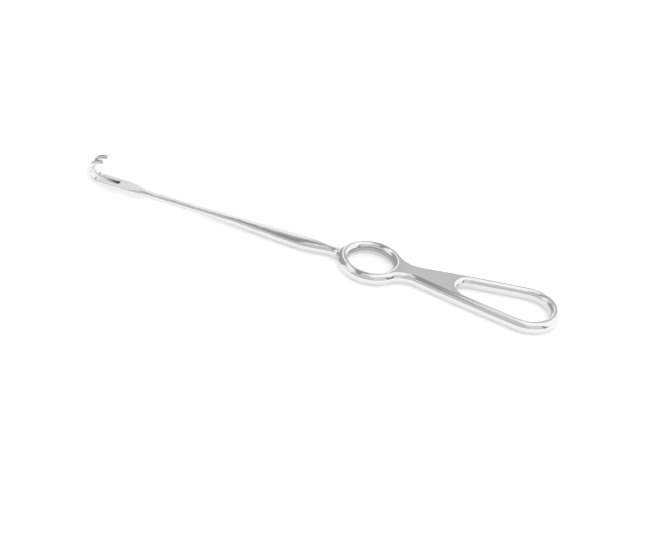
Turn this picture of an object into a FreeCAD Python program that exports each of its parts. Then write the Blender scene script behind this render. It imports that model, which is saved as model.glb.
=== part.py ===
"""Hand-held surgical retractor with two blunt prongs, forged and ground in one piece from stainless steel.

Lengths are in millimetres. X runs along the instrument, from the hooked prongs at -X to the grip loop at +X.
Y runs across it, and Z is up from the surface that the flat handle lies on, with the prongs curling upwards.
Distances in plan are measured from the centre of the finger ring. The finished solid is then moved along X,
so that the origin lies under the middle of its length.
"""

import FreeCAD, Part
import math
import os

# Whole instrument: ring, grip and head keep their sizes, and the shaft takes up what is left of the length
OVERALL_LENGTH = 217.9

# Handle: a flat forging whose ring and loop are bars of one width with rounded rims
HANDLE_THICK = 5.4
BAR_WIDTH = 4.7
OUTER_ROUND_SHARE = 0.53
INNER_ROUND_SHARE = 0.45
LEAST_SIDE_SHARE = 0.06

# Finger ring
RING_BORE_RADIUS = 10.1

# Web between the ring and the eye of the grip loop
WEB_LENGTH = 24.5
WAIST_WIDTH = 10.8
WAIST_HOLLOW_RADIUS = 10.0
SIDE_BOW_RADIUS = 900.0

# Grip loop and its teardrop eye
LOOP_WIDTH = 30.0
EYE_LENGTH = 41.3

# Shaft, from its root in the ring over neck, widest place and taper to an even slim end.
# Each share is a part of the length from the neck to the head, and the slim end has the rest.
ROOT_HOLLOW_RADIUS = 3.5
NECK_WIDTH = 4.3
NECK_THICK = 4.2
BELLY_SHARE = 0.158
BELLY_WIDTH = 8.4
BELLY_THICK = 4.9
TAPER_SHARE = 0.36
TAPER_WIDTH = 4.4
TAPER_THICK = 4.2
SLIMMING_SHARE = 0.279
SLIM_WIDTH = 3.1
SLIM_THICK = 3.0
SLIM_RISE = 0.3
SHAFT_ROUND_SHARE = 0.42
SHAFT_FLAT_SHARE = 0.25

# Flat head: a widening stretch, a flat one, and the fork slot up to the start of the bend
WIDENING_LENGTH = 9.5
HEAD_FLAT_LENGTH = 5.0
FORK_STRAIGHT_LENGTH = 9.15
HEAD_WIDTH = 7.3
HEAD_THICK = 2.1
HEAD_ROUND_SHARE = 0.21
FORK_GAP = 2.0

# Hook of the two prongs, whose outer face opens from the first radius to the second one
HOOK_ROOT_RADIUS = 5.1
HOOK_TIP_RADIUS = 7.1
HOOK_SWEEP = 178.0
TIP_SPACING = 5.0
TIP_WIDTH = 2.0
TIP_THICK = 1.7
TIP_ROUND_SHARE = 0.44
TIP_SLIMMING_SHARE = 0.55

# Spacing of the sections that the lofts pass through
ROOT_STEPS = 3
SHAFT_STEP = 4.0
LEAST_STEPS = 4
HOOK_STEP_ANGLE = 11.2

# Places and heights that are closer than this are one and the same
SAME_PLACE = 1e-3
SAME_HEIGHT = 1e-6

# Values that follow from the sizes above
THICKEST_ROUND = HANDLE_THICK * (0.5 - LEAST_SIDE_SHARE / 2)
OUTER_ROUND = min(BAR_WIDTH * OUTER_ROUND_SHARE, THICKEST_ROUND)
INNER_ROUND = min(BAR_WIDTH * INNER_ROUND_SHARE, THICKEST_ROUND)
MID_HEIGHT = HANDLE_THICK / 2
RING_OUTER_RADIUS = RING_BORE_RADIUS + BAR_WIDTH
LOOP_END_RADIUS = LOOP_WIDTH / 2
EYE_START_DISTANCE = RING_OUTER_RADIUS + WEB_LENGTH
LOOP_FAR_DISTANCE = EYE_START_DISTANCE + EYE_LENGTH + BAR_WIDTH
LOOP_END_DISTANCE = LOOP_FAR_DISTANCE - LOOP_END_RADIUS
NECK_SIDE = NECK_WIDTH / 2 + ROOT_HOLLOW_RADIUS
NECK_DISTANCE = math.sqrt((RING_OUTER_RADIUS + ROOT_HOLLOW_RADIUS) ** 2 - NECK_SIDE**2)
HOOK_OPENING = (HOOK_TIP_RADIUS - HOOK_ROOT_RADIUS) / math.radians(HOOK_SWEEP)
HOOK_REACH = HOOK_ROOT_RADIUS + HOOK_OPENING * (math.pi / 2 - 1)
HOOK_DISTANCE = OVERALL_LENGTH - LOOP_FAR_DISTANCE - HOOK_REACH
FORK_DISTANCE = HOOK_DISTANCE - FORK_STRAIGHT_LENGTH
HEAD_FULL_DISTANCE = FORK_DISTANCE - HEAD_FLAT_LENGTH
HEAD_START_DISTANCE = HEAD_FULL_DISTANCE - WIDENING_LENGTH
SHAFT_LENGTH = HEAD_START_DISTANCE - NECK_DISTANCE
BELLY_DISTANCE = NECK_DISTANCE + SHAFT_LENGTH * BELLY_SHARE
TAPER_DISTANCE = BELLY_DISTANCE + SHAFT_LENGTH * TAPER_SHARE
SLIM_DISTANCE = TAPER_DISTANCE + SHAFT_LENGTH * SLIMMING_SHARE
SLIM_MID = MID_HEIGHT + SLIM_RISE
HEAD_TOP = SLIM_MID + SLIM_THICK / 2
HEAD_MID = HEAD_TOP - HEAD_THICK / 2
HEAD_ROUND = HEAD_THICK * HEAD_ROUND_SHARE
HEAD_FLAT_SHARE = 1 - 2 * HEAD_ROUND / HEAD_WIDTH
MIDDLE_OF_LENGTH = LOOP_FAR_DISTANCE - OVERALL_LENGTH / 2


def point(x, y, z=0.0):
    """A vector in the frame whose plan origin is the ring's centre."""
    return FreeCAD.Vector(x, y, z)


def along(origin, target, length):
    """The point that lies the given length from origin towards target."""
    way = target - origin
    return origin + way * (length / way.Length)


def mirrored(place):
    """The same point on the other side of the instrument."""
    return point(place.x, -place.y, place.z)


def side_arc(start, end, centre):
    """The arc round centre that goes from start to end by the short way."""
    through = along(centre, (start + end) * 0.5, (start - centre).Length)
    return Part.Arc(start, through, end).toShape()


def axis_arc(start, centre, way):
    """The arc from start to its mirror image that crosses the X axis on the given side of centre."""
    through = centre + point(way * (start - centre).Length, 0)
    return Part.Arc(start, through, mirrored(start)).toShape()


def hollow_centre():
    """Centre of the hollow that leads from the ring into the web on the +Y side."""
    up = WAIST_WIDTH / 2 + WAIST_HOLLOW_RADIUS
    out = RING_OUTER_RADIUS + WAIST_HOLLOW_RADIUS
    return point(math.sqrt(out**2 - up**2), up)


def bow_centre():
    """Centre of the large arc that forms the +Y side of the web and the loop.

    That arc holds the loop's end arc inside it and touches the hollow from the metal's side.
    """
    end = point(LOOP_END_DISTANCE, 0)
    way = hollow_centre() - end
    gap = way.Length
    end_reach = SIDE_BOW_RADIUS - LOOP_END_RADIUS
    hollow_reach = SIDE_BOW_RADIUS + WAIST_HOLLOW_RADIUS
    reach = (end_reach**2 - hollow_reach**2 + gap**2) / (2 * gap)
    side = math.sqrt(end_reach**2 - reach**2)
    along_way = way * (1 / gap)
    across = point(-along_way.y, along_way.x)
    return end + along_way * reach + across * side


def handle_outline():
    """Outer outline of ring, web and loop, as tangent arcs."""
    ring = point(0, 0)
    end = point(LOOP_END_DISTANCE, 0)
    hollow = hollow_centre()
    bow = bow_centre()
    at_ring = along(ring, hollow, RING_OUTER_RADIUS)
    at_web = along(hollow, bow, WAIST_HOLLOW_RADIUS)
    at_loop = along(bow, end, SIDE_BOW_RADIUS)
    edges = [
        axis_arc(mirrored(at_ring), ring, -1),
        side_arc(at_ring, at_web, hollow),
        side_arc(at_web, at_loop, bow),
        axis_arc(at_loop, end, 1),
        side_arc(mirrored(at_loop), mirrored(at_web), mirrored(bow)),
        side_arc(mirrored(at_web), mirrored(at_ring), mirrored(hollow)),
    ]
    return Part.Wire(edges)


def eye_outline():
    """Teardrop eye of the loop, one bar's width inside the outer outline."""
    end = point(LOOP_END_DISTANCE, 0)
    bow = bow_centre()
    bow_radius = SIDE_BOW_RADIUS - BAR_WIDTH
    reach = bow.x - EYE_START_DISTANCE
    nose_radius = (bow_radius**2 - reach**2 - bow.y**2) / (2 * (bow_radius - reach))
    nose = point(EYE_START_DISTANCE + nose_radius, 0)
    at_nose = along(bow, nose, bow_radius)
    at_end = along(bow, end, bow_radius)
    edges = [
        axis_arc(mirrored(at_nose), nose, -1),
        side_arc(at_nose, at_end, bow),
        axis_arc(at_end, end, 1),
        side_arc(mirrored(at_end), mirrored(at_nose), mirrored(bow)),
    ]
    return Part.Wire(edges)


def plate(wire, height):
    """A flat plate of the wire's outline, standing on the plane of the wire."""
    return Part.Face(wire).extrude(point(0, 0, height))


def rim_edges(shape):
    """The edges of a plate that lie at one height."""
    return [edge for edge in shape.Edges if edge.BoundBox.ZLength < SAME_HEIGHT]


def make_handle():
    """The flat forging: its outer rim and both openings are rounded above and below."""
    body = plate(handle_outline(), HANDLE_THICK)
    body = body.makeFillet(OUTER_ROUND, rim_edges(body))
    known = [edge.CenterOfMass for edge in rim_edges(body)]
    bore = Part.makeCylinder(RING_BORE_RADIUS, HANDLE_THICK)
    body = body.cut(bore.fuse(plate(eye_outline(), HANDLE_THICK)))
    openings = [
        edge
        for edge in rim_edges(body)
        if all((edge.CenterOfMass - place).Length > SAME_PLACE for place in known)
    ]
    return body.makeFillet(INNER_ROUND, openings)


def rounded_section(width, thick, rise, run=None):
    """A closed outline across the X axis: width along Y, thickness along Z, rounded corners.

    Each corner is a quarter of an ellipse, which reaches rise along the side and run along the flat.
    Without a run it is a quarter circle.
    """
    run = rise if run is None else run
    half = width / 2 - run
    lift = thick / 2 - rise
    centres = [(half, lift), (-half, lift), (-half, -lift), (half, -lift)]
    corners = []
    for turns, (across, up) in enumerate(centres):
        ends = []
        for angle in (turns * math.pi / 2, (turns + 1) * math.pi / 2):
            ends.append(point(0, run * math.cos(angle), rise * math.sin(angle)))
        centre = point(0, across, up)
        corner = Part.BezierCurve()
        corner.setPoles([centre + ends[0], centre + ends[0] + ends[1], centre + ends[1]])
        corner.setWeight(2, math.cos(math.pi / 4))
        corners.append(corner)
    edges = []
    for index, corner in enumerate(corners):
        following = corners[(index + 1) % len(corners)]
        edges.append(corner.toShape())
        edges.append(Part.makeLine(corner.EndPoint, following.StartPoint))
    return Part.Wire(edges)


def shaft_section(width, thick, fade=0.0):
    """A section of the shaft, whose rounds and flats fade to those of the head as fade goes from 0 to 1."""
    round_share = SHAFT_ROUND_SHARE + (HEAD_ROUND_SHARE - SHAFT_ROUND_SHARE) * fade
    flat_share = SHAFT_FLAT_SHARE + (HEAD_FLAT_SHARE - SHAFT_FLAT_SHARE) * fade
    return rounded_section(width, thick, thick * round_share, width * (1 - flat_share) / 2)


def ease(t):
    """Goes from 0 to 1 with level ends."""
    return t * t * (3 - 2 * t)


def shaft_stations():
    """Rows of distance, width, thickness and mid height, from the neck to the flat head."""
    taper_part = TAPER_SHARE / (TAPER_SHARE + SLIMMING_SHARE)
    taper_mid = MID_HEIGHT + SLIM_RISE * taper_part
    return [
        (NECK_DISTANCE, NECK_WIDTH, NECK_THICK, MID_HEIGHT),
        (BELLY_DISTANCE, BELLY_WIDTH, BELLY_THICK, MID_HEIGHT),
        (TAPER_DISTANCE, TAPER_WIDTH, TAPER_THICK, taper_mid),
        (SLIM_DISTANCE, SLIM_WIDTH, SLIM_THICK, SLIM_MID),
        (HEAD_START_DISTANCE, SLIM_WIDTH, SLIM_THICK, SLIM_MID),
        (HEAD_FULL_DISTANCE, HEAD_WIDTH, HEAD_THICK, HEAD_MID),
    ]


def slopes(stations, column):
    """Slope of one column at each station: level at peaks and hollows, and never so steep as to overshoot."""
    rises = []
    for before, after in zip(stations, stations[1:]):
        rises.append((after[column] - before[column]) / (after[0] - before[0]))
    found = [0.0]
    for left, right in zip(rises, rises[1:]):
        level = left * right <= 0
        found.append(0.0 if level else 2 * left * right / (left + right))
    return found + [0.0]


def blend(stations, column, index, t):
    """Value of one column at the part t of the stretch after the given station, on a smooth curve."""
    steep = slopes(stations, column)
    low = stations[index]
    high = stations[index + 1]
    span = high[0] - low[0]
    value = low[column] + (high[column] - low[column]) * ease(t)
    value += steep[index] * span * t * (1 - t) ** 2
    value -= steep[index + 1] * span * t * t * (1 - t)
    return value


def root_sections():
    """Sections from inside the ring's bar out to the neck, widened by the hollow on each side."""
    touch = NECK_DISTANCE * RING_OUTER_RADIUS / (RING_OUTER_RADIUS + ROOT_HOLLOW_RADIUS)
    flare = NECK_DISTANCE - touch
    sections = []
    for part in range(ROOT_STEPS, 0, -1):
        reach = flare * part / ROOT_STEPS
        side = ROOT_HOLLOW_RADIUS - math.sqrt(ROOT_HOLLOW_RADIUS**2 - reach**2)
        section = shaft_section(NECK_WIDTH + 2 * side, NECK_THICK)
        section.translate(point(reach - NECK_DISTANCE, 0, MID_HEIGHT))
        sections.append(section)
    inside = sections[0].copy()
    inside.translate(point(touch - RING_OUTER_RADIUS + BAR_WIDTH / 2, 0))
    return [inside] + sections


def make_shaft():
    """The shaft, lofted from the ring's bar over neck, widest place and taper to the flat head."""
    stations = shaft_stations()
    sections = root_sections()
    for index, (low, high) in enumerate(zip(stations, stations[1:])):
        span = high[0] - low[0]
        count = max(LEAST_STEPS, round(span / SHAFT_STEP))
        fading = 1.0 if high is stations[-1] else 0.0
        for part in range(1 if index else 0, count + 1):
            t = part / count
            width = blend(stations, 1, index, t)
            thick = blend(stations, 2, index, t)
            section = shaft_section(width, thick, fading * ease(t))
            section.translate(point(-low[0] - span * t, 0, blend(stations, 3, index, t)))
            sections.append(section)
    return Part.makeLoft(sections, True, False)


def fork_slot():
    """Outline of the slot between the prongs: half round at its root, open beyond the start of the bend."""
    centre = point(-FORK_DISTANCE - FORK_GAP / 2, 0)
    root = centre + point(0, FORK_GAP / 2)
    mouth = point(-HOOK_DISTANCE - FORK_GAP, FORK_GAP / 2)
    edges = [
        Part.makeLine(mouth, root),
        axis_arc(root, centre, 1),
        Part.makeLine(mirrored(root), mirrored(mouth)),
        Part.makeLine(mirrored(mouth), mouth),
    ]
    return Part.Wire(edges)


def make_head():
    """The flat head with the slot that divides it into two prongs, all its long edges rounded alike."""
    section = rounded_section(HEAD_WIDTH, HEAD_THICK, HEAD_ROUND)
    section.translate(point(-HEAD_FULL_DISTANCE, 0, HEAD_MID))
    body = Part.Face(section).extrude(point(HEAD_FULL_DISTANCE - HOOK_DISTANCE, 0))
    body = body.cut(plate(fork_slot(), HEAD_TOP + HEAD_THICK))
    slot_reach = FORK_GAP / 2 + SAME_PLACE
    rims = [
        edge
        for edge in rim_edges(body)
        if max(-edge.BoundBox.YMin, edge.BoundBox.YMax) < slot_reach
    ]
    return body.makeFillet(HEAD_ROUND, rims)


def hook_section(turn, t, past_end=0.0):
    """One section of the +Y prong, where the bend has turned by an angle and is at the part t of its slimming.

    past_end runs from 0 to 1 over the length of the tip's round end.
    """
    angle = math.radians(turn)
    sine = math.sin(angle)
    cosine = math.cos(angle)
    ahead = HOOK_ROOT_RADIUS * sine + HOOK_OPENING * (angle * sine + cosine - 1)
    rise = HOOK_ROOT_RADIUS * (1 - cosine) + HOOK_OPENING * (sine - angle * cosine)
    root_width = (HEAD_WIDTH - FORK_GAP) / 2
    width = root_width + (TIP_WIDTH - root_width) * ease(t)
    thick = HEAD_THICK + (TIP_THICK - HEAD_THICK) * ease(t)
    root_side = (HEAD_WIDTH - root_width) / 2
    side = root_side + (TIP_SPACING / 2 - root_side) * ease(t)
    ahead += cosine * past_end * thick / 2
    rise += sine * past_end * thick / 2
    scale = math.sqrt(1 - past_end**2)
    edge = HEAD_ROUND + (TIP_THICK * TIP_ROUND_SHARE - HEAD_ROUND) * ease(t)
    section = rounded_section(width * scale, thick * scale, edge * scale)
    section.rotate(point(0, 0, 0), point(0, 1, 0), turn)
    outer = point(-HOOK_DISTANCE - ahead, side, HEAD_TOP - HEAD_THICK + rise)
    section.translate(outer + point(sine, 0, cosine) * (thick / 2))
    return section


def make_hook():
    """The +Y prong's bend, which slims towards a blunt rounded tip."""
    count = round(HOOK_SWEEP / HOOK_STEP_ANGLE)
    sections = []
    for part in range(count + 1):
        slimming = (part / count - 1) / TIP_SLIMMING_SHARE + 1
        sections.append(hook_section(HOOK_SWEEP * part / count, max(0, slimming)))
    for past_end in (0.4, 0.7, 0.92):
        sections.append(hook_section(HOOK_SWEEP, 1, past_end))
    return Part.makeLoft(sections, True, False)


def make_retractor():
    """The whole instrument as one solid."""
    hook = make_hook()
    other = hook.mirror(point(0, 0, 0), point(0, 1, 0))
    body = make_handle().fuse([make_shaft(), make_head(), hook, other])
    body = body.Solids[0]
    body.translate(point(-MIDDLE_OF_LENGTH, 0))
    return body


def main():
    """Build the instrument and write it as one file."""
    os.makedirs("parts", exist_ok=True)
    make_retractor().exportStep("parts/retractor_body.step")


main()
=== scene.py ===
"""Looks of a hand-held surgical retractor: forged steel finish, pale table, paper light tent and camera.

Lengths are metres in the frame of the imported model: X runs from the hooked prongs to the grip loop, Z is up,
and the table top lies at height 0. Angles are degrees.
"""

import logging
import math
from dataclasses import dataclass, field
from enum import Enum
from typing import Any, Callable, Optional

import bpy
from mathutils import Matrix, Vector

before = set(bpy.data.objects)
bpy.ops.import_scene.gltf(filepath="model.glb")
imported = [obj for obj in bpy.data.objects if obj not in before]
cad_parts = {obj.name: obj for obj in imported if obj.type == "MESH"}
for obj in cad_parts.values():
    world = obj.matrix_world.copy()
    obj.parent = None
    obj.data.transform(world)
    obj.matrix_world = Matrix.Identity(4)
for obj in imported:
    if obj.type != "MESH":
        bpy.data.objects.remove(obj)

MM = 0.001
SOFT_ENDS = {"interpolation_type": "SMOOTHSTEP"}
LOG = logging.getLogger("retractor")


def linear(hex_colour: str) -> tuple[float, float, float, float]:
    """Turn an sRGB hex colour into linear light.

    Args:
        hex_colour: Six hex digits with a leading hash sign.

    Returns:
        Red, green, blue and alpha, each from 0 to 1.
    """
    parts = [int(hex_colour[start:start + 2], 16) / 255 for start in (1, 3, 5)]
    levels = [part / 12.92 if part <= 0.04045 else ((part + 0.055) / 1.055) ** 2.4 for part in parts]
    return (levels[0], levels[1], levels[2], 1.0)


def add_node(
    tree: bpy.types.NodeTree,
    kind: str,
    settings: Optional[dict[str, Any]] = None,
    inputs: Optional[dict[Any, Any]] = None,
) -> bpy.types.Node:
    """Add one node with its settings and links.

    Args:
        tree: The node tree that takes the node.
        kind: The node's type name.
        settings: Attributes of the node and their values.
        inputs: Input sockets by name or number, each with a value or with the output that feeds it.

    Returns:
        The new node.
    """
    node = tree.nodes.new(kind)
    for name, value in (settings or {}).items():
        setattr(node, name, value)
    for name, value in (inputs or {}).items():
        if isinstance(value, bpy.types.NodeSocket):
            tree.links.new(value, node.inputs[name])
        else:
            node.inputs[name].default_value = value
    return node


def empty_material(name: str) -> bpy.types.Material:
    """Make a material whose node tree has nothing in it yet.

    Args:
        name: Name of the material.

    Returns:
        The new material.
    """
    material = bpy.data.materials.new(name)
    material.use_nodes = True
    material.node_tree.nodes.clear()
    return material


@dataclass(frozen=True)
class ForgedSteel:
    """Martensitic stainless steel, drop forged, then ground, satin finished on the flats and buffed on the rounds.

    Buffed rounds mirror the tent in soft bands along each bar, and the satin flats even it out to one grey.
    The head's flats are rougher and duller, and their paler colour is a painted brighter reflection. Tight corners,
    found by ambient occlusion, are rougher and painted dark: painted shade. The walls of the slot are painted nearly
    black, painted shade, and the ring's bore is painted a darker grey, a painted dark reflection of the shaded table
    inside it, which draws a dark arc under its bright rim. The prongs' ends, rounded blunt, are painted a little greyer
    by height, a painted darker reflection. Buffing crowns the shaft's upper flat, so that its far half mirrors the
    light low behind it.

    Places are in the object's own frame. A slope is the upward part of the surface direction, from -1 to 1.
    """

    # Buffed rounds, the finish of most of the instrument
    colour: str = "#E2E2E1"
    buffed_roughness: float = 0.06

    # Satin flats: those of web and loop, right of one place, and those of the head, left of another one
    satin_roughness: float = 0.2
    satin_from: float = 38.0 * MM
    satin_until: float = -78.0 * MM
    satin_fade: float = 6.0 * MM
    flat_slopes: tuple[float, float] = (0.9985, 0.9998)
    # The head's flats are duller, and their paler colour is a painted brighter reflection
    head_colour: str = "#F2F2F1"
    head_roughness: float = 0.42

    # Tight corners, by how open the steel is around a point: painted shade in the colour there, and a rougher finish
    corner_shade_colour: str = "#343433"
    unreached_roughness: float = 0.5
    corner_shade_reach: float = 2.2 * MM
    openness: tuple[float, float] = (0.42, 0.78)
    openness_samples: int = 12

    # Prongs' ends, rounded blunt, painted a little greyer by height: a painted darker reflection
    tip_reflection_colour: str = "#CECECD"
    tip_reflection_heights: tuple[float, float] = (11.4 * MM, 13.0 * MM)

    # Slot between the prongs: its walls painted nearly black, painted shade
    slot_shade_colour: str = "#444443"
    slot_shade_half_width: float = 1.12 * MM
    slot_root: float = -94.2 * MM
    slot_mouth: float = -104.5 * MM

    # Bore of the ring: painted a darker grey, a painted dark reflection of the shaded table inside the ring, darkest
    # where the wall starts to lean into the upper rim
    bore_shade_colour: str = "#ACACAB"
    bore_shade_until: float = 10.55 * MM
    bore_shade_slope: float = 0.12
    bore_shade_lean: tuple[float, float] = (0.36, 0.1)
    ring_centre: float = 23.65 * MM

    # Crown of the shaft's upper flat
    crown_radius: float = 12.0 * MM
    crown_half_width: float = 1.15 * MM
    crown_from: float = -72.0 * MM
    crown_until: float = 4.0 * MM
    crown_fade: float = 12.0 * MM

    # Polishing lines, which also vary the roughness, and the slow waves that hand buffing leaves
    line_spacing: float = 0.35 * MM
    line_length: float = 9.0 * MM
    line_depth: float = 0.0014 * MM
    line_roughness: float = 0.06
    ripple_size: float = 7.0 * MM
    ripple_depth: float = 0.02 * MM
    relief_strength: float = 0.6

    def material(self) -> bpy.types.Material:
        """Build the steel's node tree.

        Returns:
            The finished material.
        """
        steel = empty_material("forged_stainless_steel_satin_and_buffed")
        tree = steel.node_tree
        place = add_node(tree, "ShaderNodeTexCoord")
        spot = place.outputs["Object"]
        normal = place.outputs["Normal"]
        satin = self.satin(tree, normal, spot)
        head = self.head(tree, satin, spot)
        lines = self.lines(tree, spot)
        open_share = self.open_share(tree)
        shader = add_node(
            tree, "ShaderNodeBsdfPrincipled", None,
            {
                "Base Color": self.colours(tree, normal, spot, open_share, head),
                "Metallic": 1.0,
                "Roughness": self.roughness(tree, satin, head, open_share, lines),
                "Normal": self.relief(tree, spot, lines),
            },
        )
        add_node(tree, "ShaderNodeOutputMaterial", None, {"Surface": shader.outputs[0]})
        return steel

    def colours(
        self,
        tree: bpy.types.NodeTree,
        normal: bpy.types.NodeSocket,
        place: bpy.types.NodeSocket,
        open_share: bpy.types.NodeSocket,
        head: bpy.types.NodeSocket,
    ) -> bpy.types.NodeSocket:
        """Lay the steel's colours over each other: the head's painted brighter reflection, the painted darker
        reflection on the prongs' ends, painted shade in corners and in the slot, and the bore's painted dark
        reflection.

        Args:
            tree: The material's node tree.
            normal: The surface direction in the object's own frame.
            place: The point in the object's own frame.
            open_share: The share of steel open around a point, which stays clear of the painted corner shade.
            head: The share of the head's flats, whose paler colour is a painted brighter reflection.

        Returns:
            The output with the colour.
        """
        # The head's paler colour: painted brighter reflection
        head_painted_paler = add_node(
            tree, "ShaderNodeMix", {"data_type": "RGBA"},
            {0: head, 6: linear(self.colour), 7: linear(self.head_colour)},
        )
        # Prongs' ends painted greyer: painted darker reflection
        tip_darkened = add_node(
            tree, "ShaderNodeMix", {"data_type": "RGBA"},
            {0: self.tip_reflection(tree, place), 6: head_painted_paler.outputs[2], 7: linear(self.tip_reflection_colour)},
        )
        # Tight corners painted dark: painted shade
        corner_shaded = add_node(
            tree, "ShaderNodeMix", {"data_type": "RGBA"},
            {0: open_share, 6: linear(self.corner_shade_colour), 7: tip_darkened.outputs[2]},
        )
        # Ring's bore painted darker grey: painted dark reflection of the shaded table inside the ring
        bore_shaded = add_node(
            tree, "ShaderNodeMix", {"data_type": "RGBA"},
            {0: self.bore_shade(tree, normal, place), 6: corner_shaded.outputs[2], 7: linear(self.bore_shade_colour)},
        )
        # Slot walls painted nearly black: painted shade
        slot_shaded = add_node(
            tree, "ShaderNodeMix", {"data_type": "RGBA"},
            {0: self.slot_shade(tree, place), 6: bore_shaded.outputs[2], 7: linear(self.slot_shade_colour)},
        )
        return slot_shaded.outputs[2]

    def roughness(
        self,
        tree: bpy.types.NodeTree,
        satin: bpy.types.NodeSocket,
        head: bpy.types.NodeSocket,
        open_share: bpy.types.NodeSocket,
        lines: bpy.types.NodeSocket,
    ) -> bpy.types.NodeSocket:
        """Give each finish its roughness, a little uneven along the polishing lines.

        Args:
            tree: The material's node tree.
            satin: The share of satin finish.
            head: The share of the head's duller finish.
            open_share: The share of steel open around a point; tight corners are rougher.
            lines: The height of the polishing lines.

        Returns:
            The output with the roughness.
        """
        dull = add_node(
            tree, "ShaderNodeMapRange", None,
            {"Value": head, "To Min": self.satin_roughness, "To Max": self.head_roughness},
        )
        finished = add_node(
            tree, "ShaderNodeMapRange", None,
            {"Value": satin, "To Min": self.buffed_roughness, "To Max": dull.outputs["Result"]},
        )
        cornered = add_node(
            tree, "ShaderNodeMix", {"data_type": "FLOAT"},
            {0: open_share, 2: self.unreached_roughness, 3: finished.outputs["Result"]},
        )
        uneven = add_node(
            tree, "ShaderNodeMath", {"operation": "MULTIPLY_ADD"},
            {0: lines, 1: self.line_roughness, 2: cornered.outputs[0]},
        )
        return uneven.outputs[0]

    def relief(
        self, tree: bpy.types.NodeTree, place: bpy.types.NodeSocket, lines: bpy.types.NodeSocket
    ) -> bpy.types.NodeSocket:
        """Bend the surface direction by the shaft's crown, the waves of the wheel and the polishing lines.

        Args:
            tree: The material's node tree.
            place: The point in the object's own frame.
            lines: The height of the polishing lines.

        Returns:
            The output with the bent surface direction.
        """
        crowned = add_node(
            tree, "ShaderNodeBump", None,
            {"Height": self.crown(tree, place), "Distance": 1.0, "Strength": 1.0},
        )
        ripple = add_node(
            tree, "ShaderNodeTexNoise", None, {"Vector": place, "Scale": 1 / self.ripple_size, "Detail": 1.0},
        )
        waves = add_node(
            tree, "ShaderNodeBump", None,
            {
                "Height": ripple.outputs[0],
                "Distance": self.ripple_depth,
                "Strength": self.relief_strength,
                "Normal": crowned.outputs["Normal"],
            },
        )
        scratches = add_node(
            tree, "ShaderNodeBump", None,
            {
                "Height": lines,
                "Distance": self.line_depth,
                "Strength": self.relief_strength,
                "Normal": waves.outputs["Normal"],
            },
        )
        return scratches.outputs["Normal"]

    def open_share(self, tree: bpy.types.NodeTree) -> bpy.types.NodeSocket:
        """Give 1 where the steel is open around a point and 0 deep in slots and sharp corners, which take painted shade
        and a rougher finish.

        Args:
            tree: The material's node tree.

        Returns:
            The output with the openness.
        """
        # Ambient occlusion of the steel itself lays the painted shade into tight corners
        around = add_node(
            tree, "ShaderNodeAmbientOcclusion", {"samples": self.openness_samples, "only_local": True},
            {"Distance": self.corner_shade_reach},
        )
        ramp = add_node(
            tree, "ShaderNodeMapRange", SOFT_ENDS,
            {"Value": around.outputs["AO"], "From Min": self.openness[0], "From Max": self.openness[1]},
        )
        return ramp.outputs["Result"]

    def tip_reflection(self, tree: bpy.types.NodeTree, place: bpy.types.NodeSocket) -> bpy.types.NodeSocket:
        """Give 1 at the prongs' ends, which take a painted darker reflection, and 0 on the rest, by height above the
        table.

        Args:
            tree: The material's node tree.
            place: The point in the object's own frame.

        Returns:
            The output with the share of painted darker reflection.
        """
        spot = add_node(tree, "ShaderNodeSeparateXYZ", None, {0: place})
        ramp = add_node(
            tree, "ShaderNodeMapRange", SOFT_ENDS,
            {"Value": spot.outputs["Z"], "From Min": self.tip_reflection_heights[0], "From Max": self.tip_reflection_heights[1]},
        )
        return ramp.outputs["Result"]

    def slot_shade(self, tree: bpy.types.NodeTree, place: bpy.types.NodeSocket) -> bpy.types.NodeSocket:
        """Give 1 on the walls at the root of the slot between the prongs, and less towards its mouth, where the slot's
        painted shade goes.

        Args:
            tree: The material's node tree.
            place: The point in the object's own frame.

        Returns:
            The output with the share of painted slot shade.
        """
        spot = add_node(tree, "ShaderNodeSeparateXYZ", None, {0: place})
        side = add_node(tree, "ShaderNodeMath", {"operation": "ABSOLUTE"}, {0: spot.outputs["Y"]})
        wall = add_node(
            tree, "ShaderNodeMath", {"operation": "LESS_THAN"}, {0: side.outputs[0], 1: self.slot_shade_half_width},
        )
        fork = add_node(
            tree, "ShaderNodeMath", {"operation": "LESS_THAN"}, {0: spot.outputs["X"], 1: self.slot_root},
        )
        fading = add_node(
            tree, "ShaderNodeMapRange", SOFT_ENDS,
            {"Value": spot.outputs["X"], "From Min": self.slot_mouth, "From Max": self.slot_root},
        )
        inside = add_node(tree, "ShaderNodeMath", {"operation": "MULTIPLY"}, {0: wall.outputs[0], 1: fork.outputs[0]})
        share = add_node(
            tree, "ShaderNodeMath", {"operation": "MULTIPLY"}, {0: inside.outputs[0], 1: fading.outputs["Result"]},
        )
        return share.outputs[0]

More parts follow.
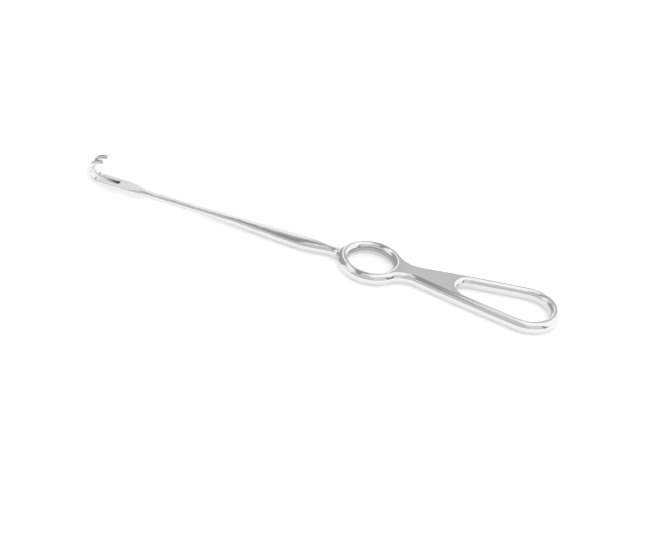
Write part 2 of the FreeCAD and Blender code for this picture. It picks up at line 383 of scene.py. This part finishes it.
    def bore_shade(
        self, tree: bpy.types.NodeTree, normal: bpy.types.NodeSocket, place: bpy.types.NodeSocket
    ) -> bpy.types.NodeSocket:
        """Give 1 on the upright wall of the ring's bore, up to its upper rim, and 0 elsewhere: where the bore's painted
        dark reflection goes.

        Args:
            tree: The material's node tree.
            normal: The surface direction in the object's own frame.
            place: The point in the object's own frame.

        Returns:
            The output with the share of painted dark reflection on the bore.
        """
        offset = add_node(
            tree, "ShaderNodeVectorMath", {"operation": "SUBTRACT"}, {0: place, 1: (self.ring_centre, 0.0, 0.0)},
        )
        level = add_node(
            tree, "ShaderNodeVectorMath", {"operation": "MULTIPLY"}, {0: offset.outputs[0], 1: (1.0, 1.0, 0.0)},
        )
        radius = add_node(tree, "ShaderNodeVectorMath", {"operation": "LENGTH"}, {0: level.outputs[0]})
        bore = add_node(
            tree, "ShaderNodeMath", {"operation": "LESS_THAN"}, {0: radius.outputs["Value"], 1: self.bore_shade_until},
        )
        parts = add_node(tree, "ShaderNodeSeparateXYZ", None, {0: normal})
        tilt = add_node(
            tree, "ShaderNodeMath", {"operation": "SUBTRACT"}, {0: parts.outputs["Z"], 1: self.bore_shade_slope},
        )
        lean = add_node(tree, "ShaderNodeMath", {"operation": "ABSOLUTE"}, {0: tilt.outputs[0]})
        upright = add_node(
            tree, "ShaderNodeMapRange", SOFT_ENDS,
            {"Value": lean.outputs[0], "From Min": self.bore_shade_lean[0], "From Max": self.bore_shade_lean[1]},
        )
        share = add_node(
            tree, "ShaderNodeMath", {"operation": "MULTIPLY"}, {0: bore.outputs[0], 1: upright.outputs["Result"]},
        )
        return share.outputs[0]

    def crown(self, tree: bpy.types.NodeTree, place: bpy.types.NodeSocket) -> bpy.types.NodeSocket:
        """Give the height, in metres, that the shaft's crowned flats lose away from their middle line.

        Args:
            tree: The material's node tree.
            place: The point in the object's own frame.

        Returns:
            The output with the height, which is even beyond the flats and on head and handle.
        """
        spot = add_node(tree, "ShaderNodeSeparateXYZ", None, {0: place})
        side = add_node(tree, "ShaderNodeMath", {"operation": "ABSOLUTE"}, {0: spot.outputs["Y"]})
        held = add_node(
            tree, "ShaderNodeMath", {"operation": "MINIMUM"}, {0: side.outputs[0], 1: self.crown_half_width},
        )
        square = add_node(tree, "ShaderNodeMath", {"operation": "MULTIPLY"}, {0: held.outputs[0], 1: held.outputs[0]})
        drop = add_node(
            tree, "ShaderNodeMath", {"operation": "MULTIPLY"},
            {0: square.outputs[0], 1: -1 / (2 * self.crown_radius)},
        )
        right = add_node(
            tree, "ShaderNodeMapRange", SOFT_ENDS,
            {
                "Value": spot.outputs["X"],
                "From Min": self.crown_until + self.crown_fade,
                "From Max": self.crown_until,
            },
        )
        left = add_node(
            tree, "ShaderNodeMapRange", SOFT_ENDS,
            {
                "Value": spot.outputs["X"],
                "From Min": self.crown_from - self.crown_fade,
                "From Max": self.crown_from,
            },
        )
        within = add_node(
            tree, "ShaderNodeMath", {"operation": "MULTIPLY"},
            {0: right.outputs["Result"], 1: left.outputs["Result"]},
        )
        height = add_node(tree, "ShaderNodeMath", {"operation": "MULTIPLY"}, {0: drop.outputs[0], 1: within.outputs[0]})
        return height.outputs[0]

    def satin(
        self, tree: bpy.types.NodeTree, normal: bpy.types.NodeSocket, place: bpy.types.NodeSocket
    ) -> bpy.types.NodeSocket:
        """Give 1 on the level flats of head, web and loop and 0 on their rounds, the shaft and the ring.

        Args:
            tree: The material's node tree.
            normal: The surface direction in the object's own frame.
            place: The point in the object's own frame.

        Returns:
            The output with the share of satin finish.
        """
        parts = add_node(tree, "ShaderNodeSeparateXYZ", None, {0: normal})
        up = add_node(tree, "ShaderNodeMath", {"operation": "ABSOLUTE"}, {0: parts.outputs["Z"]})
        flat = add_node(
            tree, "ShaderNodeMapRange", SOFT_ENDS,
            {"Value": up.outputs[0], "From Min": self.flat_slopes[0], "From Max": self.flat_slopes[1]},
        )
        spot = add_node(tree, "ShaderNodeSeparateXYZ", None, {0: place})
        handle = add_node(
            tree, "ShaderNodeMapRange", SOFT_ENDS,
            {
                "Value": spot.outputs["X"],
                "From Min": self.satin_from - self.satin_fade,
                "From Max": self.satin_from + self.satin_fade,
            },
        )
        head = add_node(
            tree, "ShaderNodeMapRange", SOFT_ENDS,
            {
                "Value": spot.outputs["X"],
                "From Min": self.satin_until + self.satin_fade,
                "From Max": self.satin_until - self.satin_fade,
            },
        )
        ends = add_node(
            tree, "ShaderNodeMath", {"operation": "MAXIMUM"},
            {0: handle.outputs["Result"], 1: head.outputs["Result"]},
        )
        share = add_node(
            tree, "ShaderNodeMath", {"operation": "MULTIPLY"}, {0: flat.outputs["Result"], 1: ends.outputs[0]},
        )
        return share.outputs[0]

    def head(
        self, tree: bpy.types.NodeTree, satin: bpy.types.NodeSocket, place: bpy.types.NodeSocket
    ) -> bpy.types.NodeSocket:
        """Give 1 on the head's satin flats and 0 on those of the handle.

        Args:
            tree: The material's node tree.
            satin: The share of satin finish.
            place: The point in the object's own frame.

        Returns:
            The output with the share of the head's duller finish, which also takes a painted brighter reflection.
        """
        spot = add_node(tree, "ShaderNodeSeparateXYZ", None, {0: place})
        leftward = add_node(
            tree, "ShaderNodeMapRange", SOFT_ENDS,
            {"Value": spot.outputs["X"], "From Min": self.satin_from, "From Max": self.satin_until},
        )
        share = add_node(
            tree, "ShaderNodeMath", {"operation": "MULTIPLY"}, {0: satin, 1: leftward.outputs["Result"]},
        )
        return share.outputs[0]

    def lines(self, tree: bpy.types.NodeTree, place: bpy.types.NodeSocket) -> bpy.types.NodeSocket:
        """Give fine polishing lines that run along the instrument.

        The real lines are a few hundredths of a millimetre apart, and are drawn coarser here, so that they show.

        Args:
            tree: The material's node tree.
            place: The point in the object's own frame.

        Returns:
            The output with the lines' height, from 0 to 1.
        """
        stretched = add_node(
            tree, "ShaderNodeVectorMath", {"operation": "MULTIPLY"},
            {0: place, 1: (self.line_spacing / self.line_length, 1.0, 1.0)},
        )
        grain = add_node(
            tree, "ShaderNodeTexNoise", None,
            {"Vector": stretched.outputs[0], "Scale": 1 / self.line_spacing, "Detail": 2.0},
        )
        return grain.outputs[0]


@dataclass(frozen=True)
class MattPaper:
    """Uncoated white paper, rolled: an even matt white that keeps soft shadows.

    Its fibres are drawn coarser than real ones, which are a few hundredths of a millimetre wide.
    """

    colour: str = "#FBFBFA"
    matt_roughness: float = 0.95
    lift: float = 0.22
    fibre_size: float = 1.2 * MM
    fibre_depth: float = 0.01 * MM
    fibre_strength: float = 0.2

    def material(self) -> bpy.types.Material:
        """Build the paper's node tree, which adds a little white where a camera or a mirror sees it.

        Returns:
            The finished material.
        """
        paper = empty_material("matt_white_paper")
        tree = paper.node_tree
        place = add_node(tree, "ShaderNodeTexCoord")
        fibres = add_node(
            tree, "ShaderNodeTexNoise", None,
            {"Vector": place.outputs["Object"], "Scale": 1 / self.fibre_size, "Detail": 3.0},
        )
        relief = add_node(
            tree, "ShaderNodeBump", None,
            {"Height": fibres.outputs[0], "Distance": self.fibre_depth, "Strength": self.fibre_strength},
        )
        sheet = add_node(
            tree, "ShaderNodeBsdfPrincipled", None,
            {
                "Base Color": linear(self.colour),
                "Roughness": self.matt_roughness,
                "Normal": relief.outputs["Normal"],
            },
        )
        path = add_node(tree, "ShaderNodeLightPath")
        seen = add_node(
            tree, "ShaderNodeMath", {"operation": "MAXIMUM"},
            {0: path.outputs["Is Camera Ray"], 1: path.outputs["Is Glossy Ray"]},
        )
        shown = add_node(
            tree, "ShaderNodeMath", {"operation": "MAXIMUM"},
            {0: seen.outputs[0], 1: path.outputs["Is Transmission Ray"]},
        )
        strength = add_node(
            tree, "ShaderNodeMath", {"operation": "MULTIPLY"}, {0: shown.outputs[0], 1: self.lift},
        )
        glow = add_node(
            tree, "ShaderNodeEmission", None, {"Color": (1.0, 1.0, 1.0, 1.0), "Strength": strength.outputs[0]},
        )
        both = add_node(tree, "ShaderNodeAddShader", None, {0: sheet.outputs[0], 1: glow.outputs[0]})
        add_node(tree, "ShaderNodeOutputMaterial", None, {"Surface": both.outputs[0]})
        return paper


@dataclass(frozen=True)
class LitCard:
    """Grey card, evenly lit, with a soft edge: it only shows as a band in the steel."""

    brightness: float

    def material(self, name: str) -> bpy.types.Material:
        """Build the card's node tree, which fades out towards the card's edge.

        Args:
            name: Name of the card.

        Returns:
            The finished material.
        """
        card = empty_material(name + "_card")
        tree = card.node_tree
        cover = add_node(tree, "ShaderNodeAttribute", {"attribute_name": "cover"})
        glow = add_node(
            tree, "ShaderNodeEmission", None, {"Color": (1.0, 1.0, 1.0, 1.0), "Strength": self.brightness},
        )
        clear = add_node(tree, "ShaderNodeBsdfTransparent")
        faded = add_node(
            tree, "ShaderNodeMixShader", None,
            {0: cover.outputs["Fac"], 1: clear.outputs[0], 2: glow.outputs[0]},
        )
        add_node(tree, "ShaderNodeOutputMaterial", None, {"Surface": faded.outputs[0]})
        return card


class CardForm(Enum):
    """How a card of the tent hangs."""

    BENT = "bent round the table at one distance"
    LEVEL = "flat and level above the table"


@dataclass
class TentCard:
    """One card of the light tent.

    A bent card spans azimuths and elevations in degrees, at one distance in metres. A level card hangs at that
    height, and spans places along X and Y as parts of it. The soft edges are in the unit of the spans.
    """

    name: str
    form: CardForm
    across: tuple[float, float]
    along: tuple[float, float]
    soft: tuple[float, float]
    brightness: float
    distance: float = 1.2
    turn: float = 0.0
    steps: int = 24

    def point(self, u: float, v: float) -> Vector:
        """Place one point of the card.

        Args:
            u: Part of the way across, from 0 to 1.
            v: Part of the way along, from 0 to 1.

        Returns:
            The point in the frame of the table.
        """
        first = self.across[0] + (self.across[1] - self.across[0]) * u
        second = self.along[0] + (self.along[1] - self.along[0]) * v
        if self.form is CardForm.BENT:
            azimuth = math.radians(first)
            elevation = math.radians(second)
            level = math.cos(elevation)
            way = Vector((math.cos(azimuth) * level, math.sin(azimuth) * level, math.sin(elevation)))
            return way * self.distance
        turned = Matrix.Rotation(math.radians(self.turn), 3, "Z")
        return turned @ (Vector((first, second, 1.0)) * self.distance)

    def build(self) -> bpy.types.Object:
        """Make the card and set it up as part of the stage.

        Returns:
            The card's object.
        """
        count = self.steps + 1
        places = []
        cover = []
        for row in range(count):
            for column in range(count):
                u = column / self.steps
                v = row / self.steps
                places.append(self.point(u, v))
                cover.append(self.fade(u, self.across, self.soft[0]) * self.fade(v, self.along, self.soft[1]))
        faces = []
        for row in range(self.steps):
            for column in range(self.steps):
                corner = row * count + column
                faces.append((corner, corner + 1, corner + count + 1, corner + count))
        mesh = bpy.data.meshes.new(self.name)
        mesh.from_pydata(places, [], faces)
        layer = mesh.attributes.new("cover", "FLOAT", "POINT")
        layer.data.foreach_set("value", cover)
        card = bpy.data.objects.new(self.name, mesh)
        bpy.context.scene.collection.objects.link(card)
        mesh.materials.append(LitCard(self.brightness).material(self.name))
        card.visible_camera = False
        card.visible_diffuse = False
        card.visible_shadow = False
        return card

    @staticmethod
    def fade(part: float, span: tuple[float, float], soft: float) -> float:
        """Give the card's cover near its edges.

        Args:
            part: Part of the way over the span, from 0 to 1.
            span: Both ends of the span.
            soft: Width of the soft edge, in the span's unit.

        Returns:
            0 at the edge to 1 inside it.
        """
        inside = min(part, 1 - part) * abs(span[1] - span[0])
        t = min(1.0, inside / soft) if soft else 1.0
        return t * t * (3 - 2 * t)


@dataclass
class LightTent:
    """White tent with grey cards, which give the steel its bands."""

    brightness: float = 1.0
    cards: tuple[TentCard, ...] = (
        # Light over the right of the table: pale tops along ring and loop
        TentCard(
            "overhead_light", CardForm.LEVEL, across=(-0.05, 3.4), along=(-3.0, 3.0), soft=(0.1, 0.6),
            brightness=1.18, distance=1.3,
        ),
        # Light at the right: bright rounds that face the loop's end
        TentCard(
            "right_light", CardForm.BENT, across=(-2.0, 101.0), along=(-10.0, 74.0), soft=(6.0, 8.0),
            brightness=1.2, distance=1.4,
        ),
        # Low light at the back: pale far half of the shaft
        TentCard(
            "far_light", CardForm.BENT, across=(95.5, 108.0), along=(-2.0, 28.0), soft=(3.0, 5.0),
            brightness=1.2, distance=1.1,
        ),
        # Light behind the head
        TentCard(
            "head_light", CardForm.BENT, across=(111.0, 126.0), along=(16.0, 46.0), soft=(3.0, 6.0),
            brightness=0.9, distance=1.05,
        ),
        # Bright arc high at the left, in the rims that face the hook
        TentCard(
            "left_arc", CardForm.LEVEL, across=(-0.76, -0.33), along=(-0.5, 2.4), soft=(0.06, 0.3),
            brightness=1.15, distance=0.62, turn=-5.0,
        ),
        # Grey front: the core of each bar's near side
        TentCard(
            "front", CardForm.BENT, across=(-142.0, -55.0), along=(-8.0, 88.5), soft=(10.0, 6.0),
            brightness=0.68,
        ),
        # Paler grey beside it, up to the right
        TentCard(
            "front_right", CardForm.BENT, across=(-74.0, 4.0), along=(-8.0, 66.0), soft=(6.0, 12.0),
            brightness=0.8, distance=1.25,
        ),
        # Dark gap: the near-black spots low on ring and loop
        TentCard(
            "right_gap", CardForm.BENT, across=(-17.0, -5.0), along=(-24.0, 46.0), soft=(4.0, 9.0),
            brightness=0.2, distance=1.15,
        ),
        # Grey back: level flats of web and loop
        TentCard(
            "far", CardForm.BENT, across=(72.0, 100.5), along=(-4.0, 48.0), soft=(3.0, 9.0),
            brightness=0.6,
        ),
        # Grey over the back, above the low light
        TentCard(
            "far_high", CardForm.BENT, across=(93.0, 118.0), along=(29.5, 74.0), soft=(3.0, 4.0),
            brightness=0.62, distance=1.15,
        ),
        # Dark back left: the darkest cores of ring, bend and prongs
        TentCard(
            "left_back", CardForm.BENT, across=(113.0, 184.0), along=(-12.0, 54.0), soft=(9.0, 6.0),
            brightness=0.44, distance=0.7,
        ),
        # Dark strip overhead: the dark line along the shaft's top
        TentCard(
            "overhead_gap", CardForm.LEVEL, across=(-0.38, -0.1), along=(-0.95, 1.3), soft=(0.07, 0.5),
            brightness=0.36, distance=0.6, turn=-9.0,
        ),
    )

    def build(self) -> list[bpy.types.Object]:
        """Light the world and hang the cards.

        Returns:
            The cards' objects.
        """
        world = bpy.data.worlds.new("white_tent")
        world.use_nodes = True
        world.node_tree.nodes.clear()
        cloth = add_node(
            world.node_tree, "ShaderNodeBackground", None,
            {"Color": (1.0, 1.0, 1.0, 1.0), "Strength": self.brightness},
        )
        add_node(world.node_tree, "ShaderNodeOutputWorld", None, {"Surface": cloth.outputs[0]})
        bpy.context.scene.world = world
        return [card.build() for card in self.cards]


@dataclass
class Table:
    """Round table top under the instrument."""

    radius: float = 3.0
    sides: int = 96
    finish: MattPaper = field(default_factory=MattPaper)

    def build(self) -> bpy.types.Object:
        """Make the table top at height 0.

        Returns:
            The table's object.
        """
        rim = []
        for side in range(self.sides):
            angle = 2 * math.pi * side / self.sides
            rim.append((self.radius * math.cos(angle), self.radius * math.sin(angle), 0.0))
        mesh = bpy.data.meshes.new("table_top")
        mesh.from_pydata(rim, [], [tuple(range(self.sides))])
        mesh.materials.append(self.finish.material())
        table = bpy.data.objects.new("table_top", mesh)
        bpy.context.scene.collection.objects.link(table)
        return table


@dataclass
class Retractor:
    """The instrument, one forging."""

    node: str = "retractor_body"
    finish: ForgedSteel = field(default_factory=ForgedSteel)

    def dress(self) -> bpy.types.Object:
        """Give the forging its steel.

        Returns:
            The forging's object.
        """
        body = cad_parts[self.node]
        steel = self.finish.material()
        for slot in body.material_slots:
            slot.material = steel
        return body


@dataclass
class TableCamera:
    """Camera in front of the table, a little to the right, that looks down on the instrument."""

    azimuth: float = 10.323
    elevation: float = 34.646
    roll: float = 11.140
    distance: float = 711.7 * MM
    aside: float = 16.9 * MM
    above: float = 4.3 * MM
    focal_length: float = 88.9
    sensor_width: float = 36.0
    aim: tuple[float, float, float] = (23.65 * MM, 0.0, 2.7 * MM)

    def build(self) -> bpy.types.Object:
        """Set up the camera with the ring's centre as its aim.

        Returns:
            The camera's object.
        """
        side = math.radians(self.azimuth)
        tilt = math.radians(self.elevation)
        level = Vector((math.cos(side), math.sin(side), 0.0))
        back = Vector((math.sin(side) * math.cos(tilt), -math.cos(side) * math.cos(tilt), math.sin(tilt)))
        rise = back.cross(level)
        spin = math.radians(self.roll)
        right = level * math.cos(spin) + rise * math.sin(spin)
        up = rise * math.cos(spin) - level * math.sin(spin)
        place = Vector(self.aim) + back * self.distance - right * self.aside - up * self.above
        lens = bpy.data.cameras.new("table_camera")
        lens.lens = self.focal_length
        lens.sensor_width = self.sensor_width
        lens.sensor_fit = "HORIZONTAL"
        camera = bpy.data.objects.new("table_camera", lens)
        camera.matrix_world = Matrix.Translation(place) @ Matrix((right, up, back)).transposed().to_4x4()
        bpy.context.scene.collection.objects.link(camera)
        bpy.context.scene.camera = camera
        return camera


def main() -> None:
    """Dress the instrument and build its studio."""
    logging.basicConfig(level=logging.INFO, format="%(message)s")
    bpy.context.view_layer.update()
    bpy.context.scene.view_settings.view_transform = "Standard"
    steps: tuple[tuple[str, Callable[[], Any]], ...] = (
        ("retractor", Retractor().dress),
        ("table", Table().build),
        ("tent", LightTent().build),
        ("camera", TableCamera().build),
    )
    for name, step in steps:
        LOG.info("%s: %s", name, step())


if __name__ == "__main__":
    main()
